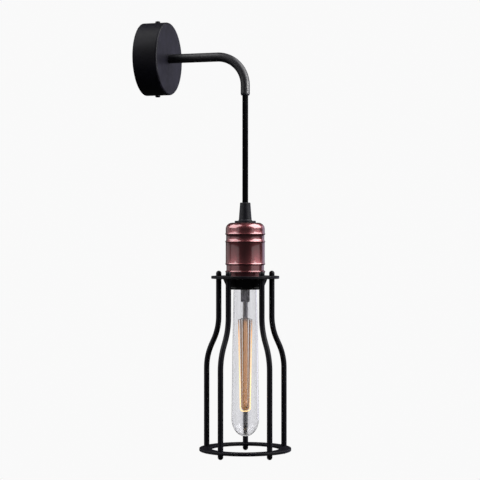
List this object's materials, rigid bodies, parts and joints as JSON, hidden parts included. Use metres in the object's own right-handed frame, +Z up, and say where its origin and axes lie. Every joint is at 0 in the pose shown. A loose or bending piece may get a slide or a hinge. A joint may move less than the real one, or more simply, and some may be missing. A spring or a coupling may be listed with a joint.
{
  "type": "cage wall light",
  "caption": "Wall light: round black rose, bent tube arm, braided drop cord, copper lamp cup and a wire cage round a long tubular filament bulb.",
  "frame": {"origin": "middle of the rose's back on the wall, midway between the two wall screw slots", "axes": "+Z up along the wall, +Y into the wall, so the arm stands out along -Y; X runs sideways"},
  "size_m": [0.1, 0.166, 0.4764],
  "materials": {
    "black_powder_coat": "satin",
    "antique_copper": "satin",
    "zinc_steel": "satin",
    "black_steel_screw": "satin",
    "black_nylon": "matte",
    "black_bakelite": "gloss",
    "white_nylon": "matte",
    "brass": "satin",
    "black_braid": "matte",
    "brown_core": "matte",
    "blue_core": "matte",
    "green_yellow_core": "matte",
    "clear_glass": "gloss",
    "stem_glass": "gloss",
    "black_cap_glass": "gloss",
    "nickel_cap": "satin",
    "lead_wire": "satin",
    "carbon_filament": "matte"
  },
  "bodies": {
    "wall_unit": {"rose_cover": "black_powder_coat", "wall_bracket": "zinc_steel", "rose_side_screws": "black_steel_screw", "terminal_block": "white_nylon", "terminal_barrels": "brass", "terminal_screws": "zinc_steel", "block_screw": "zinc_steel", "earth_tag": "brass", "earth_screw": "zinc_steel", "arm_tube": "black_powder_coat", "arm_toothed_washer": "zinc_steel", "arm_locknut": "zinc_steel", "arm_end_bush": "black_nylon", "cord_clamp": "white_nylon", "cord_clamp_screw": "zinc_steel", "cord_in_arm": "black_braid", "core_live_upper": "brown_core", "core_neutral_upper": "blue_core", "core_earth_upper": "green_yellow_core"},
    "cord_neck": {"cord_neck": "black_braid"},
    "hanging_cord": {"cord_drop": "black_braid"},
    "lampholder": {"cord_grip": "black_nylon", "grip_screw": "zinc_steel", "grip_washer": "black_nylon", "holder_cup": "antique_copper", "holder_bridge": "zinc_steel", "bridge_screws": "zinc_steel", "holder_earth_tag": "brass", "holder_earth_screw": "zinc_steel", "socket_body": "black_bakelite", "shell_screws": "zinc_steel", "socket_terminals": "brass", "socket_terminal_screws": "zinc_steel", "centre_contact": "brass", "side_contact": "brass", "screw_shell": "brass", "core_live_lower": "brown_core", "core_neutral_lower": "blue_core", "core_earth_lower": "green_yellow_core", "ring_nut": "black_bakelite", "cage_top_plate": "black_powder_coat", "cage_bottom_ring": "black_powder_coat", "cage_wire_1": "black_powder_coat", "cage_wire_2": "black_powder_coat", "cage_wire_3": "black_powder_coat", "cage_wire_4": "black_powder_coat", "cage_wire_5": "black_powder_coat"},
    "bulb_button": {"bulb_contact": "lead_wire"},
    "bulb": {"bulb_cap": "nickel_cap", "bulb_insulator": "black_cap_glass", "bulb_glass": "clear_glass", "bulb_stem": "stem_glass", "bulb_rod": "clear_glass", "bulb_lead_wires": "lead_wire", "filament_supports": "lead_wire", "bulb_filament": "carbon_filament"}
  },
  "joints": [
    {"name": "swing_side", "type": "hinge", "parent": "wall_unit", "child": "cord_neck", "pos_m": [0, -0.116, -0.0428], "axis": [0, 1, 0], "range_deg": [-20, 20]},
    {"name": "swing_out", "type": "hinge", "parent": "cord_neck", "child": "hanging_cord", "pos_m": [0, -0.116, -0.0428], "axis": [-1, 0, 0], "range_deg": [-9, 20]},
    {"name": "twist", "type": "hinge", "parent": "hanging_cord", "child": "lampholder", "pos_m": [0, -0.116, -0.17], "axis": [0, 0, 1], "range_deg": [-90, 90], "stiffness_Nm_per_rad": 0.01},
    {"name": "bulb_feed", "type": "slide", "parent": "lampholder", "child": "bulb_button", "axis": [0, 0, -1], "range_m": [0, 0.01271]},
    {"name": "bulb_turn", "type": "hinge", "parent": "bulb_button", "child": "bulb", "pos_m": [0, -0.116, -0.2165], "axis": [0, 0, -1], "range_deg": [0, 1260]}
  ],
  "couplings": [
    {"joint": "bulb_feed", "follows": "bulb_turn", "m_per_rad": 0.00057757}
  ]
}
